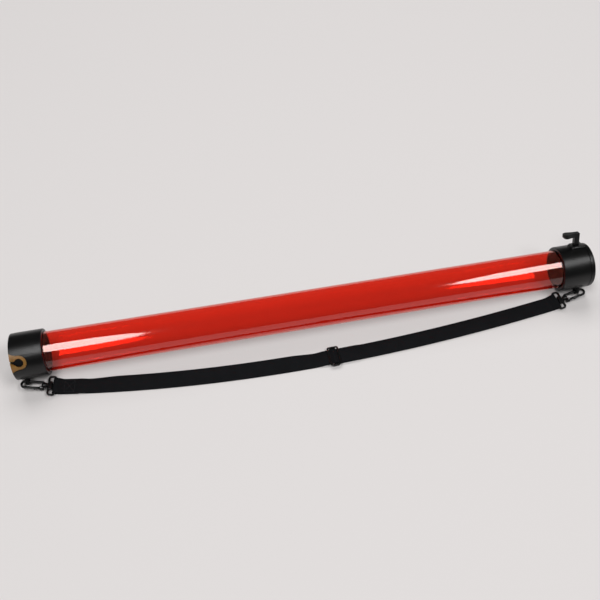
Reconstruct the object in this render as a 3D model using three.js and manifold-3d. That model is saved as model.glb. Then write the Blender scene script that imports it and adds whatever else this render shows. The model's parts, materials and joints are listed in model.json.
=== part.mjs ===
// Tennis ball pickup tube, in millimetres, +Z up.
// The tube lies along X on its two collars, with the pickup end at -X and the release end at +X.
// The carrying strap lies on the ground in front of it, at -Y.
import * as THREE from 'three';
import { mergeVertices } from 'three/addons/utils/BufferGeometryUtils.js';
import Module from 'manifold-3d';

const wasm = await Module();
wasm.setup();

// Overall sizes
const OVERALL_LENGTH = 1070;
const TUBE_DIAMETER = 72;
const TUBE_WALL = 1.5;
const COLLAR_WALL = 5.7;
const PICKUP_COLLAR_LENGTH = 57;
const RELEASE_COLLAR_LENGTH = 60;
const SEAT_GAP = 0.3;
const OVERRUN = 3;
const ROUND_STEPS = 52;

const END_X = OVERALL_LENGTH / 2;
const TUBE_RADIUS = TUBE_DIAMETER / 2;
const BORE_RADIUS = TUBE_RADIUS - TUBE_WALL;
const SOCKET_RADIUS = TUBE_RADIUS + SEAT_GAP;
const COLLAR_RADIUS = SOCKET_RADIUS + COLLAR_WALL;
const COLLAR_EDGE_RADIUS = 2;
// A round made of flats stands on one of them, a little inside its radius
const AXIS_HEIGHT = COLLAR_RADIUS * Math.cos(Math.PI / ROUND_STEPS);

// Catch ring in the pickup collar, and the rubber sleeve that it carries
const CATCH_LENGTH = 28;
const SLEEVE_WALL = 1.9;
const CATCH_WALL = 1.6;
const CATCH_LIP_PROUD = 2.5;
const CATCH_LIP_DEPTH = 6;
const CATCH_LIP_WIDTH = 2.5;
const CATCH_TAPER_LENGTH = 8;
const CATCH_LEAD_IN = 2;
const COLLAR_RIB_WIDTH = 3;
const SLEEVE_RADIUS = BORE_RADIUS + SLEEVE_WALL;
const CATCH_BORE_RADIUS = SLEEVE_RADIUS + SEAT_GAP;
const CATCH_RADIUS = CATCH_BORE_RADIUS + CATCH_WALL;
const CATCH_SEAT_RADIUS = CATCH_RADIUS + SEAT_GAP;

// Keyholes, which let the catch ring open round a ball, and the sleeve's keys in them
const KEYHOLE_COUNT = 3;
const FIRST_KEYHOLE_ANGLE = THREE.MathUtils.degToRad(-50);
const KEYHOLE_INSET = 15;
const KEYHOLE_RADIUS = 8;
const KEYHOLE_SLOT_WIDTH = 8.2;
const NOTCH_RADIUS = 13.5;
const NOTCH_RIM_WIDTH = 37;
const NOTCH_FLARE_SHARE = 0.5;
const PAD_DEPTH = 0.9;
const KEY_DEPTH = 2.4;
const BEAD_DEPTH = 0.2;
const BEAD_WIDTH = 4.2;

// Release collar, its end ring and its boss
const END_RING_WIDTH = 8;
const END_RING_TAPER = 0.4;
const END_RING_EDGE = 1;
const SPIGOT_WALL = 3;
const SPIGOT_LENGTH = 5.5;
const JOINT_CHAMFER = 0.6;
const LEVER_ANGLE = THREE.MathUtils.degToRad(27);
const LEVER_INSET = 23.5;
const BOSS_LENGTH = 29;
const BOSS_WIDTH = 22;
const BOSS_PROUD = 3.2;
const BOSS_CORNER = 9;
const BOSS_SLOPE = 1.8;
const BOSS_ROOF = 2.9;
const TUBE_STOP_GAP = 3.5;

// Stop button, spring, lever and screw
const BUTTON_RADIUS = 7.4;
const BUTTON_WALL = 1.4;
const BUTTON_FLOOR = 2.6;
const BUTTON_REACH = 6.5;
const BUTTON_TRAVEL = 7;
const BUTTON_EDGE = 1.2;
const NECK_LENGTH = 6.6;
const NECK_WIDTH = 5.2;
const STEM_LENGTH = 9.6;
const STEM_WIDTH = 8;
const LEVER_HEIGHT = 25.5;
const LEVER_FOOT_THICKNESS = 8;
const LEVER_FOOT_REACH = 27;
const LEVER_FOOT_BULGE = 2.4;
const PADDLE_WIDTH = 14;
const PADDLE_LENGTH = 14;
const LEVER_ROUND = 1.6;
const SCREW_RADIUS = 1.3;
const SCREW_LENGTH = 9;
const SCREW_HEAD_RADIUS = 2.6;
const SCREW_HEAD_HEIGHT = 1.2;
const STOP_WIRE = 0.8;
const STOP_TURNS = 5;

// Strap lugs on the two collars
const LUG_ANGLE = THREE.MathUtils.degToRad(-130);
const LUG_THICKNESS = 6.5;
const LUG_HOLE_RADIUS = 4.2;
const LUG_BAR = 3;
const LUG_HOLE_OFFSET = 5;
const LUG_BASE_WIDTH = 17;
const LUG_EDGE = 0.8;
const PICKUP_LUG_INSET = 15;
const RELEASE_LUG_INSET = 24;

// Swivel snap hooks: u runs from the eye to the nose, v across the loop and w through it
const HOOK_BAR = 4;
const HOOK_LENGTH = 54;
const LOOP_WIDTH = 16.2;
const BARREL_RADIUS = 4.6;
const BARREL_LENGTH = 7.3;
const HEEL_RADIUS = 5;
const HEEL_LENGTH = 4;
const WINDOW_CORNER = 0.8;
const HOOK_EDGE = 0.9;
const KNUCKLE_RADIUS = 3.1;
const KNUCKLE_INSET = 2;
const CHEEK_THICKNESS = 1.2;
const GATE_THICKNESS = 4;
const GATE_HUB_RADIUS = 2.7;
const GATE_MITRE_INSET = 4.6;
const THUMB_RIDGE_LENGTH = 5;
const THUMB_RIDGE_HEIGHT = 1.1;
const THUMB_RIDGE_INSET = 10;
const GATE_PIN_RADIUS = 1.2;
const PIN_HEAD_RADIUS = 2;
const PIN_HEAD_HEIGHT = 0.7;
const GATE_SPRING_WIRE = 0.45;
const GATE_SPRING_TURNS = 2;
const GATE_SPRING_PITCH = 0.8;
const GATE_SPRING_SLOT = 2.5;
const EYE_WIDTH = 39;
const EYE_LENGTH = 15.2;
const EYE_CORNER = 6;
const EYE_WINDOW_CORNER = 2;
const EYE_HUB_WIDTH = 16;
const EYE_HUB_DEPTH = 4.8;
const EYE_HUB_PROUD = 0.7;
const SHANK_RADIUS = 2.2;
const SHANK_NECK_RADIUS = 3.8;
const SHANK_HEAD_RADIUS = 3;
const SHANK_HEAD_LENGTH = 1.6;
const SHANK_CHAMFER = 0.6;

// How each hook lies: turned towards the tube, rising to its lug, with its loop tilted
const HOOK_RISE = THREE.MathUtils.degToRad(8.5);
const HOOK_TILT = THREE.MathUtils.degToRad(-4);
const RAIL_OFFSET = 0.8;
const PICKUP_HOOK_HEADING = THREE.MathUtils.degToRad(9.8);
const RELEASE_HOOK_HEADING = THREE.MathUtils.degToRad(8);
const PICKUP_HOOK_REACH = 42.5;
const RELEASE_HOOK_REACH = 40;

// Strap webbing and its slider
const WEBBING_WIDTH = 30;
const WEBBING_THICKNESS = 1.3;
const LAYER_GAP = 0.45;
const SEWN_TAIL = 42;
const FOLD_BACK = 38;
const SLIDER_SHARE = 0.532;
const SLIDER_LENGTH = 21.5;
const SLIDER_WIDTH = 39;
const SLIDER_BAR = 3.2;
const SLIDER_THICKNESS = 2.2;
const SLIDER_CORNER = 4;
const SLIDER_EDGE = 0.6;
const MIDDLE_BAR_RADIUS = 1.3;
const RAIL_LENGTH = 11;
const LONG_STEP = 26;
const RISE_LENGTH = 16;
const DROP_LENGTH = 14;
const SLOW_RISE_LENGTH = 28;
const EASE_STEPS = 5;
const WRAP_STEPS = 8;

// Materials
const clearRed = new THREE.MeshStandardMaterial({
  color: 0xc8281c, roughness: 0.12, metalness: 0, transparent: true, opacity: 0.45,
});
const blackPlastic = new THREE.MeshStandardMaterial({ color: 0x1b1b1c, roughness: 0.45, metalness: 0 });
const amberRubber = new THREE.MeshStandardMaterial({ color: 0x96702f, roughness: 0.5, metalness: 0 });
const blackWebbing = new THREE.MeshStandardMaterial({ color: 0x121213, roughness: 0.9, metalness: 0 });
const blackRubber = new THREE.MeshStandardMaterial({ color: 0x141414, roughness: 0.65, metalness: 0 });
const springSteel = new THREE.MeshStandardMaterial({ color: 0x9a9c9f, roughness: 0.3, metalness: 1 });

// Solids: a closed geometry becomes a solid that can be joined or cut, and comes back as a geometry
function solidOf(geometry) {
  const bare = geometry.clone();
  bare.deleteAttribute('normal');
  bare.deleteAttribute('uv');
  const merged = mergeVertices(bare);
  const corners = merged.index.array;
  const triangles = [];
  for (let i = 0; i < corners.length; i += 3) {
    const [a, b, c] = corners.slice(i, i + 3);
    if (a !== b && b !== c && c !== a) triangles.push(a, b, c);
  }
  return new wasm.Manifold(new wasm.Mesh({
    numProp: 3,
    vertProperties: merged.attributes.position.array,
    triVerts: new Uint32Array(triangles),
  }));
}

function geometryOf(solid) {
  const mesh = solid.getMesh();
  const geometry = new THREE.BufferGeometry();
  geometry.setAttribute('position', new THREE.BufferAttribute(mesh.vertProperties, mesh.numProp));
  geometry.setIndex(new THREE.BufferAttribute(mesh.triVerts, 1));
  geometry.computeVertexNormals();
  return geometry;
}

function join(first, ...others) {
  return others.reduce((sum, geometry) => sum.add(solidOf(geometry)), solidOf(first));
}

function cut(solid, ...tools) {
  return tools.reduce((rest, geometry) => rest.subtract(solidOf(geometry)), solid);
}

function meshOf(name, geometry, material) {
  const mesh = new THREE.Mesh(geometry, material);
  mesh.name = name;
  return mesh;
}

// A ring or rod turned about X from a profile of [x, radius], with a flat facing down
function turned(profile) {
  const points = profile.map(([x, radius]) => new THREE.Vector2(radius, x));
  const geometry = new THREE.LatheGeometry(points, ROUND_STEPS, Math.PI / ROUND_STEPS);
  return geometry.rotateZ(-Math.PI / 2);
}

// The same for a small rod along u, with fewer flats
const SMALL_STEPS = 16;
function turnedRod(profile) {
  const points = profile.map(([x, radius]) => new THREE.Vector2(radius, x));
  return new THREE.LatheGeometry(points, SMALL_STEPS).rotateZ(-Math.PI / 2);
}

// A quarter round for a turned profile, from one angle to another about a centre
function quarter(x, radius, size, fromDegrees, toDegrees) {
  const steps = 2;
  return Array.from({ length: steps + 1 }, (_, i) => {
    const angle = THREE.MathUtils.degToRad(fromDegrees + (toDegrees - fromDegrees) * i / steps);
    return [x + size * Math.cos(angle), radius + size * Math.sin(angle)];
  });
}

function roundedRectangle(xLow, xHigh, yLow, yHigh, corner) {
  const shape = new THREE.Shape();
  shape.moveTo(xLow + corner, yLow);
  shape.lineTo(xHigh - corner, yLow);
  shape.absarc(xHigh - corner, yLow + corner, corner, -Math.PI / 2, 0);
  shape.lineTo(xHigh, yHigh - corner);
  shape.absarc(xHigh - corner, yHigh - corner, corner, 0, Math.PI / 2);
  shape.lineTo(xLow + corner, yHigh);
  shape.absarc(xLow + corner, yHigh - corner, corner, Math.PI / 2, Math.PI);
  shape.lineTo(xLow, yLow + corner);
  shape.absarc(xLow + corner, yLow + corner, corner, Math.PI, Math.PI * 1.5);
  return shape;
}

// A flat piece from an outline, between two heights, with its edges softened inside the outline
function plate(shape, low, high, edge, curveSegments = 6) {
  const geometry = new THREE.ExtrudeGeometry(shape, {
    depth: high - low - 2 * edge,
    bevelEnabled: edge > 0,
    bevelThickness: edge,
    bevelSize: edge,
    bevelOffset: -edge,
    bevelSegments: 1,
    curveSegments,
  });
  return geometry.translate(0, 0, low + edge);
}

function block(xLow, xHigh, yLow, yHigh, zLow, zHigh) {
  const geometry = new THREE.BoxGeometry(xHigh - xLow, yHigh - yLow, zHigh - zLow);
  return geometry.translate((xLow + xHigh) / 2, (yLow + yHigh) / 2, (zLow + zHigh) / 2);
}

// A cylinder along the third axis, between two heights
function post(x, y, radius, low, high, sides = SMALL_STEPS) {
  const geometry = new THREE.CylinderGeometry(radius, radius, high - low, sides);
  return geometry.rotateX(Math.PI / 2).translate(x, y, (low + high) / 2);
}

// Turns a shape drawn across the tube so that its thickness runs along X
const ACROSS_TUBE = new THREE.Matrix4().makeBasis(
  new THREE.Vector3(0, 1, 0), new THREE.Vector3(0, 0, 1), new THREE.Vector3(1, 0, 0),
);

// Collars
function lugAt(x) {
  const centre = COLLAR_RADIUS + LUG_HOLE_OFFSET;
  const outer = LUG_HOLE_RADIUS + LUG_BAR;
  const foot = BORE_RADIUS + SPIGOT_WALL + SPIGOT_WALL / 2;
  const shape = new THREE.Shape();
  shape.moveTo(-LUG_BASE_WIDTH / 2, foot);
  shape.lineTo(LUG_BASE_WIDTH / 2, foot);
  shape.lineTo(outer, centre);
  shape.absarc(0, centre, outer, 0, Math.PI);
  shape.holes.push(new THREE.Path().absarc(0, centre, LUG_HOLE_RADIUS, 0, Math.PI * 2));
  const geometry = plate(shape, x - LUG_THICKNESS / 2, x + LUG_THICKNESS / 2, LUG_EDGE, 8);
  return geometry.applyMatrix4(ACROSS_TUBE).rotateX(-LUG_ANGLE);
}

// The notch in the collar's rim: round at its inner end and flared at the rim
function notchOutline(inset) {
  const round = NOTCH_RADIUS - inset;
  const rimHalf = NOTCH_RIM_WIDTH / 2 - inset;
  const centre = -END_X + KEYHOLE_INSET;
  const flare = -END_X + KEYHOLE_INSET * NOTCH_FLARE_SHARE;
  const shape = new THREE.Shape();
  shape.moveTo(-END_X - OVERRUN, -rimHalf);
  shape.lineTo(-END_X, -rimHalf);
  shape.quadraticCurveTo(flare, -round, centre, -round);
  shape.absarc(centre, 0, round, -Math.PI / 2, Math.PI / 2);
  shape.quadraticCurveTo(flare, round, -END_X, rimHalf);
  shape.lineTo(-END_X - OVERRUN, rimHalf);
  return shape;
}

function keyholeOutline(inset, rim) {
  const centre = -END_X + KEYHOLE_INSET;
  const half = KEYHOLE_SLOT_WIDTH / 2 - inset;
  const round = KEYHOLE_RADIUS - inset;
  const meet = Math.asin(half / round);
  const shape = new THREE.Shape();
  shape.moveTo(rim, -half);
  shape.absarc(centre, 0, round, -Math.PI + meet, Math.PI - meet);
  shape.lineTo(rim, half);
  return shape;
}

const keyholeAngles = Array.from({ length: KEYHOLE_COUNT },
  (_, i) => FIRST_KEYHOLE_ANGLE + i * 2 * Math.PI / KEYHOLE_COUNT);

function pickupCollar() {
  const rim = -END_X;
  const inner = rim + PICKUP_COLLAR_LENGTH;
  const ledge = rim + CATCH_LENGTH + SEAT_GAP;
  const shoulder = ledge + COLLAR_RIB_WIDTH;
  const ring = turned([
    ...quarter(rim + COLLAR_EDGE_RADIUS, COLLAR_RADIUS - COLLAR_EDGE_RADIUS, COLLAR_EDGE_RADIUS, 180, 90),
    ...quarter(inner - COLLAR_EDGE_RADIUS, COLLAR_RADIUS - COLLAR_EDGE_RADIUS, COLLAR_EDGE_RADIUS, 90, 0),
    [inner, SOCKET_RADIUS],
    [shoulder, SOCKET_RADIUS],
    [shoulder, BORE_RADIUS],
    [ledge, BORE_RADIUS],
    [ledge, CATCH_SEAT_RADIUS],
    [rim, CATCH_SEAT_RADIUS],
    [rim, COLLAR_RADIUS - COLLAR_EDGE_RADIUS],
  ]);
  const notch = plate(notchOutline(0), BORE_RADIUS / 2, COLLAR_RADIUS + OVERRUN, 0);
  const notches = keyholeAngles.map((angle) => notch.clone().rotateX(-angle));
  return geometryOf(cut(join(ring, lugAt(-END_X + PICKUP_LUG_INSET)), ...notches));
}

// A shell of the collar's bore from the catch ring's rim to its back, out to a radius
function catchShell(inner, outer) {
  const rim = -END_X + SEAT_GAP;
  const back = -END_X + CATCH_LENGTH;
  return turned([[rim, outer], [back, outer], [back, inner], [rim, inner], [rim, outer]]);
}

function catchRing() {
  const middle = (CATCH_BORE_RADIUS + CATCH_RADIUS) / 2;
  const padShell = solidOf(catchShell(middle, COLLAR_RADIUS - PAD_DEPTH));
  const beadShell = solidOf(catchShell(middle, COLLAR_RADIUS - BEAD_DEPTH));
  const pad = plate(notchOutline(SEAT_GAP), BORE_RADIUS / 2, COLLAR_RADIUS, 0);
  const beadRadius = KEYHOLE_RADIUS + BEAD_WIDTH;
  const bead = post(-END_X + KEYHOLE_INSET, 0, beadRadius, BORE_RADIUS / 2, COLLAR_RADIUS, 24);
  const keyhole = plate(keyholeOutline(0, -END_X - OVERRUN), BORE_RADIUS / 2, COLLAR_RADIUS + OVERRUN, 0);
  let solid = solidOf(catchShell(CATCH_BORE_RADIUS, CATCH_RADIUS));
  for (const angle of keyholeAngles) {
    const pads = solidOf(pad.clone().rotateX(-angle)).intersect(padShell);
    const beads = solidOf(bead.clone().rotateX(-angle)).intersect(beadShell);
    solid = cut(solid.add(pads).add(beads), keyhole.clone().rotateX(-angle));
  }
  return geometryOf(solid);
}

// The sleeve grips a ball with its lip, and its keys stand in the catch ring's keyholes
function catchSleeve() {
  const rim = -END_X + SEAT_GAP;
  const back = -END_X + CATCH_LENGTH;
  const throat = BORE_RADIUS - CATCH_LIP_PROUD;
  const lip = rim + CATCH_LIP_DEPTH;
  let solid = solidOf(turned([
    [rim, SLEEVE_RADIUS],
    [back, SLEEVE_RADIUS],
    [back, BORE_RADIUS],
    [lip + CATCH_TAPER_LENGTH, BORE_RADIUS],
    [lip, throat],
    [lip - CATCH_LIP_WIDTH, throat],
    [rim, SLEEVE_RADIUS - CATCH_LEAD_IN],
    [rim, SLEEVE_RADIUS],
  ]));
  const middle = (BORE_RADIUS + SLEEVE_RADIUS) / 2;
  const keyShell = solidOf(catchShell(middle, COLLAR_RADIUS - KEY_DEPTH));
  const key = plate(keyholeOutline(SEAT_GAP, rim), BORE_RADIUS / 2, COLLAR_RADIUS, 0);
  for (const angle of keyholeAngles) {
    solid = solid.add(solidOf(key.clone().rotateX(-angle)).intersect(keyShell));
  }
  return geometryOf(solid);
}

const LEVER_X = END_X - LEVER_INSET;
const POCKET_RADIUS = BUTTON_RADIUS + SEAT_GAP;
const BOSS_TOP = COLLAR_RADIUS + BOSS_PROUD;
const POCKET_ROOF = BOSS_TOP - BOSS_ROOF;
const RELEASE_COLLAR_END = END_X - END_RING_WIDTH - SEAT_GAP;
const RELEASE_TUBE_STOP = LEVER_X - POCKET_RADIUS - TUBE_STOP_GAP;

function releaseCollar() {
  const inner = END_X - RELEASE_COLLAR_LENGTH;
  const end = RELEASE_COLLAR_END;
  const spigotEnd = end - SPIGOT_LENGTH;
  const spigotSeat = BORE_RADIUS + SPIGOT_WALL + SEAT_GAP;
  const ring = turned([
    ...quarter(inner + COLLAR_EDGE_RADIUS, COLLAR_RADIUS - COLLAR_EDGE_RADIUS, COLLAR_EDGE_RADIUS, 180, 90),
    [end - JOINT_CHAMFER, COLLAR_RADIUS],
    [end, COLLAR_RADIUS - JOINT_CHAMFER],
    [end, spigotSeat],
    [spigotEnd, spigotSeat],
    [spigotEnd, BORE_RADIUS],
    [RELEASE_TUBE_STOP, BORE_RADIUS],
    [RELEASE_TUBE_STOP, SOCKET_RADIUS],
    [inner, SOCKET_RADIUS],
    [inner, COLLAR_RADIUS - COLLAR_EDGE_RADIUS],
  ]);
  const bossEnd = end - JOINT_CHAMFER;
  const bossHalf = BOSS_WIDTH / 2;
  const bossRound = bossEnd - BOSS_LENGTH + BOSS_CORNER;
  const bossShape = new THREE.Shape();
  bossShape.moveTo(bossEnd, -bossHalf);
  bossShape.lineTo(bossEnd, bossHalf);
  bossShape.absarc(bossRound, bossHalf - BOSS_CORNER, BOSS_CORNER, Math.PI / 2, Math.PI);
  bossShape.absarc(bossRound, -bossHalf + BOSS_CORNER, BOSS_CORNER, Math.PI, Math.PI * 1.5);
  const bossFoot = spigotSeat + JOINT_CHAMFER;
  const boss = plate(bossShape, bossFoot, BOSS_TOP, BOSS_SLOPE);
  const pocket = post(LEVER_X, 0, POCKET_RADIUS, BORE_RADIUS / 2, POCKET_ROOF, 32);
  const slot = block(LEVER_X - NECK_LENGTH / 2 - SEAT_GAP, LEVER_X + NECK_LENGTH / 2 + SEAT_GAP,
    -NECK_WIDTH / 2 - SEAT_GAP, NECK_WIDTH / 2 + SEAT_GAP, BORE_RADIUS, BOSS_TOP + OVERRUN);
  const body = join(ring, boss.rotateX(-LEVER_ANGLE), lugAt(END_X - RELEASE_LUG_INSET));
  return geometryOf(cut(body, pocket.rotateX(-LEVER_ANGLE), slot.rotateX(-LEVER_ANGLE)));
}

function releaseEndRing() {
  const start = END_X - END_RING_WIDTH;
  const spigotEnd = RELEASE_COLLAR_END - SPIGOT_LENGTH + SEAT_GAP;
  const rimRadius = COLLAR_RADIUS - END_RING_TAPER;
  return turned([
    [start, COLLAR_RADIUS - JOINT_CHAMFER],
    [start + JOINT_CHAMFER, COLLAR_RADIUS],
    ...quarter(END_X - END_RING_EDGE, rimRadius - END_RING_EDGE, END_RING_EDGE, 90, 0),
    [END_X, BORE_RADIUS],
    [spigotEnd, BORE_RADIUS],
    [spigotEnd, BORE_RADIUS + SPIGOT_WALL],
    [start, BORE_RADIUS + SPIGOT_WALL],
    [start, COLLAR_RADIUS - JOINT_CHAMFER],
  ]);
}

function clearTube() {
  const from = -END_X + CATCH_LENGTH + COLLAR_RIB_WIDTH + 2 * SEAT_GAP;
  const to = RELEASE_TUBE_STOP - SEAT_GAP;
  return turned([
    [from, TUBE_RADIUS],
    [to, TUBE_RADIUS],
    [to, BORE_RADIUS],
    [from, BORE_RADIUS],
    [from, TUBE_RADIUS],
  ]);
}

// Release mechanism, drawn with its stem along +Z and the tube's axis at z = 0
const BUTTON_TIP = BORE_RADIUS - BUTTON_REACH;
const BUTTON_CUP = BUTTON_TIP + BUTTON_FLOOR;
const BUTTON_RIM = POCKET_ROOF - SEAT_GAP - BUTTON_TRAVEL;
const NECK_END = BUTTON_CUP + SEAT_GAP;
const SCREW_HOLE_RADIUS = SCREW_RADIUS + SEAT_GAP;
const SCREW_SEAT = BUTTON_TIP + SCREW_HEAD_HEIGHT + SEAT_GAP;

function stopButton() {
  const cup = new THREE.LatheGeometry([
    [0, BUTTON_TIP], [BUTTON_RADIUS - BUTTON_EDGE, BUTTON_TIP], [BUTTON_RADIUS, BUTTON_TIP + BUTTON_EDGE],
    [BUTTON_RADIUS, BUTTON_RIM], [BUTTON_RADIUS - BUTTON_WALL, BUTTON_RIM],
    [BUTTON_RADIUS - BUTTON_WALL, BUTTON_CUP], [0, BUTTON_CUP],
  ].map(([radius, height]) => new THREE.Vector2(radius, height)), 32).rotateX(Math.PI / 2);
  const headSeat = post(0, 0, SCREW_HEAD_RADIUS + SEAT_GAP, BUTTON_TIP - OVERRUN, SCREW_SEAT);
  const hole = post(0, 0, SCREW_HOLE_RADIUS, BUTTON_TIP, BUTTON_CUP + OVERRUN);
  return geometryOf(cut(solidOf(cup), headSeat, hole));
}

function stopScrew() {
  const headTop = SCREW_SEAT - SEAT_GAP;
  const profile = [
    [0, headTop - SCREW_HEAD_HEIGHT], [SCREW_HEAD_RADIUS, headTop - SCREW_HEAD_HEIGHT],
    [SCREW_HEAD_RADIUS, headTop], [SCREW_RADIUS, headTop],
    [SCREW_RADIUS, headTop + SCREW_LENGTH - SCREW_RADIUS], [0, headTop + SCREW_LENGTH],
  ];
  const points = profile.map(([radius, height]) => new THREE.Vector2(radius, height));
  return new THREE.LatheGeometry(points, SMALL_STEPS).rotateX(Math.PI / 2);
}

// The lever's side view and its view from outside, each drawn through and kept where both agree
function releaseLever() {
  const bottom = BOSS_TOP + SEAT_GAP;
  const top = BOSS_TOP + LEVER_HEIGHT;
  const right = STEM_LENGTH / 2;
  const tip = right - LEVER_FOOT_REACH - STEM_LENGTH / 2;
  const under = top - LEVER_FOOT_THICKNESS;
  const side = new THREE.Shape();
  side.moveTo(-right, bottom);
  side.lineTo(right, bottom);
  side.lineTo(right, top - LEVER_ROUND);
  side.quadraticCurveTo(right, top, right - LEVER_ROUND, top);
  side.lineTo(tip + LEVER_ROUND, top);
  side.quadraticCurveTo(tip, top, tip, top - LEVER_ROUND);
  side.lineTo(tip, under + LEVER_FOOT_BULGE);
  side.quadraticCurveTo(tip + LEVER_FOOT_BULGE, under - LEVER_FOOT_BULGE / 2, (tip - right) / 2, under);
  side.lineTo(-right - LEVER_ROUND, under);
  side.quadraticCurveTo(-right, under, -right, under - LEVER_ROUND);

  const half = STEM_WIDTH / 2;
  const wide = PADDLE_WIDTH / 2;
  const widest = wide + LEVER_ROUND / 2;
  const shoulder = wide - LEVER_ROUND;
  const plan = new THREE.Shape();
  plan.moveTo(right, -half);
  plan.lineTo(right, half);
  plan.lineTo(-right, half);
  plan.lineTo(tip + PADDLE_LENGTH, shoulder);
  plan.quadraticCurveTo(tip + PADDLE_LENGTH / 2, widest, tip + wide / 2, shoulder);
  plan.quadraticCurveTo(tip, half, tip, 0);
  plan.quadraticCurveTo(tip, -half, tip + wide / 2, -shoulder);
  plan.quadraticCurveTo(tip + PADDLE_LENGTH / 2, -widest, tip + PADDLE_LENGTH, -shoulder);
  plan.lineTo(-right, -half);

  const outlineAbove = plate(plan, bottom - OVERRUN, top + OVERRUN, 0);
  const outlineBeside = plate(side, -PADDLE_WIDTH, PADDLE_WIDTH, 0).rotateX(Math.PI / 2);
  const grip = solidOf(outlineAbove).intersect(solidOf(outlineBeside));
  const neckHalf = NECK_WIDTH / 2;
  const neck = block(-NECK_LENGTH / 2, NECK_LENGTH / 2, -neckHalf, neckHalf, NECK_END, bottom + OVERRUN);
  const holeEnd = SCREW_SEAT + SCREW_LENGTH + SEAT_GAP;
  const threadHole = post(0, 0, SCREW_HOLE_RADIUS, NECK_END - OVERRUN, holeEnd);
  return geometryOf(cut(grip.add(solidOf(neck)), threadHole));
}

// A wire wound round the third axis from one height to another
class Helix extends THREE.Curve {
  constructor(radius, turns, low, high) {
    super();
    Object.assign(this, { radius, turns, low, high });
  }

  getPoint(t, target = new THREE.Vector3()) {
    const angle = 2 * Math.PI * this.turns * t;
    const height = this.low + (this.high - this.low) * t;
    return target.set(this.radius * Math.cos(angle), this.radius * Math.sin(angle), height);
  }
}

function woundWire(radius, wire, turns, low, high) {
  const sides = 5;
  const stepsPerTurn = 12;
  const section = new THREE.Shape(Array.from({ length: sides }, (_, i) => new THREE.Vector2(
    wire / 2 * Math.cos(2 * Math.PI * i / sides), wire / 2 * Math.sin(2 * Math.PI * i / sides))));
  return new THREE.ExtrudeGeometry(section, {
    steps: turns * stepsPerTurn,
    bevelEnabled: false,
    extrudePath: new Helix(radius, turns, low + wire / 2, high - wire / 2),
  });
}

function stopSpring() {
  const neckCorner = Math.hypot(NECK_LENGTH, NECK_WIDTH) / 2;
  const cupWall = BUTTON_RADIUS - BUTTON_WALL;
  const radius = (neckCorner + cupWall) / 2;
  return woundWire(radius, STOP_WIRE, STOP_TURNS, BUTTON_CUP + SEAT_GAP, POCKET_ROOF - SEAT_GAP);
}

// Snap hook: places along u, counted from the middle of the eye
const EYE_HALF = EYE_LENGTH / 2;
const EYE_BAR_U = -EYE_HALF + HOOK_BAR / 2;
const BARREL_START = EYE_HALF + 2 * SEAT_GAP;
const BARREL_END = BARREL_START + BARREL_LENGTH;
const LOOP_HALF = LOOP_WIDTH / 2;
const RAIL_V = LOOP_HALF - HOOK_BAR / 2;
const WINDOW_HALF = LOOP_HALF - HOOK_BAR;
const NOSE_U = HOOK_LENGTH - LOOP_HALF;
const PIVOT_U = BARREL_END + KNUCKLE_INSET;
const PIVOT_V = -RAIL_V;
const MITRE = NOSE_U - GATE_MITRE_INSET;
const KNUCKLE_HALF = GATE_THICKNESS / 2 + SEAT_GAP + CHEEK_THICKNESS;
const GATE_START = PIVOT_U - GATE_HUB_RADIUS - SEAT_GAP;

// Sloping end shared by the nose and the gate: the gate closes against it from inside
function gateSpace(from, inner, outer, gap) {
  const shape = new THREE.Shape();
  const slope = (v) => MITRE + (v + RAIL_V) + gap;
  shape.moveTo(from, -outer);
  shape.lineTo(slope(-outer), -outer);
  shape.lineTo(slope(-inner), -inner);
  shape.lineTo(from, -inner);
  return shape;
}

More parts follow.
